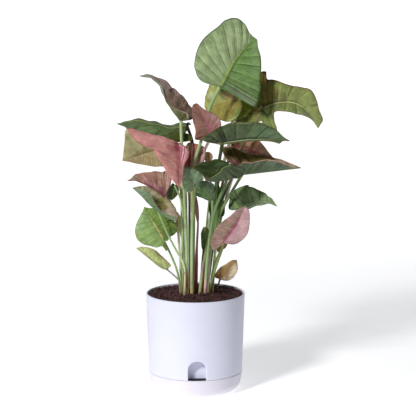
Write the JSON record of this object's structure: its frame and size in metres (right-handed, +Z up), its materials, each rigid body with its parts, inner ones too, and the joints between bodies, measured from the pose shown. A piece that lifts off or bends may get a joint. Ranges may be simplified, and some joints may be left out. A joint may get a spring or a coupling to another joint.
{
  "type": "potted plant",
  "caption": "Arrowhead vine with green and pink leaves on upright stalks, growing in a round white self-watering pot on its own tray.",
  "frame": {"origin": "centre of the water tray's underside, where the pot stands", "axes": "+Z up along the pot's axis; -Y is the front, where the niche for watering is; +X to the right of someone looking at the front"},
  "size_m": [0.2279, 0.1182, 0.419],
  "materials": {
    "leaf_pale_green": "satin leaf, green with pale veins",
    "leaf_olive": "satin leaf, olive to yellow-green",
    "leaf_dark_green": "satin leaf, dark green",
    "leaf_pink": "satin leaf, pink with magenta veins",
    "leaf_brown_pink": "satin leaf, brownish pink",
    "leaf_tan": "satin leaf, orange-tan",
    "stalk_green": "smooth fleshy stalk, light green",
    "white_shell": "smooth matte white plastic",
    "white_tray": "smooth matte white plastic",
    "potting_soil": "granular reddish brown potting mix"
  },
  "bodies": {
    "root": {"leaf_a_blade": "leaf_pale_green", "leaf_a_stalk": "stalk_green", "leaf_b_blade": "leaf_olive", "leaf_b_stalk": "stalk_green", "leaf_c_blade": "leaf_pale_green", "leaf_c_stalk": "stalk_green", "leaf_d_blade": "leaf_olive", "leaf_d_stalk": "stalk_green", "leaf_f_blade": "leaf_brown_pink", "leaf_f_stalk": "stalk_green", "leaf_g_blade": "leaf_dark_green", "leaf_g_stalk": "stalk_green", "leaf_h_blade": "leaf_pink", "leaf_h_stalk": "stalk_green", "leaf_i_blade": "leaf_olive", "leaf_i_stalk": "stalk_green", "leaf_j_blade": "leaf_brown_pink", "leaf_j_stalk": "stalk_green", "leaf_l_blade": "leaf_olive", "leaf_l_stalk": "stalk_green", "leaf_m_blade": "leaf_pale_green", "leaf_m_stalk": "stalk_green", "leaf_n_blade": "leaf_olive", "leaf_n_stalk": "stalk_green", "leaf_o_blade": "leaf_brown_pink", "leaf_o_stalk": "stalk_green", "leaf_p_blade": "leaf_dark_green", "leaf_p_stalk": "stalk_green", "leaf_q_blade": "leaf_dark_green", "leaf_q_stalk": "stalk_green", "leaf_r_blade": "leaf_dark_green", "leaf_r_stalk": "stalk_green", "leaf_s_blade": "leaf_brown_pink", "leaf_s_stalk": "stalk_green", "leaf_u_blade": "leaf_dark_green", "leaf_u_stalk": "stalk_green", "leaf_v_blade": "leaf_dark_green", "leaf_v_stalk": "stalk_green", "leaf_x_blade": "leaf_dark_green", "leaf_x_stalk": "stalk_green", "leaf_y_blade": "leaf_pink", "leaf_y_stalk": "stalk_green", "leaf_aa_blade": "leaf_tan", "leaf_aa_stalk": "stalk_green", "young_leaf_e": "leaf_olive", "young_leaf_h": "leaf_pink", "young_leaf_k": "leaf_dark_green", "young_leaf_t": "leaf_brown_pink", "young_leaf_w": "leaf_dark_green", "young_leaf_z": "leaf_olive", "young_leaf_bb": "leaf_dark_green", "young_leaf_dd": "leaf_olive", "rolled_leaf": "leaf_brown_pink", "planter_shell": "white_shell", "water_tray": "white_tray", "soil": "potting_soil"}
  },
  "joints": []
}
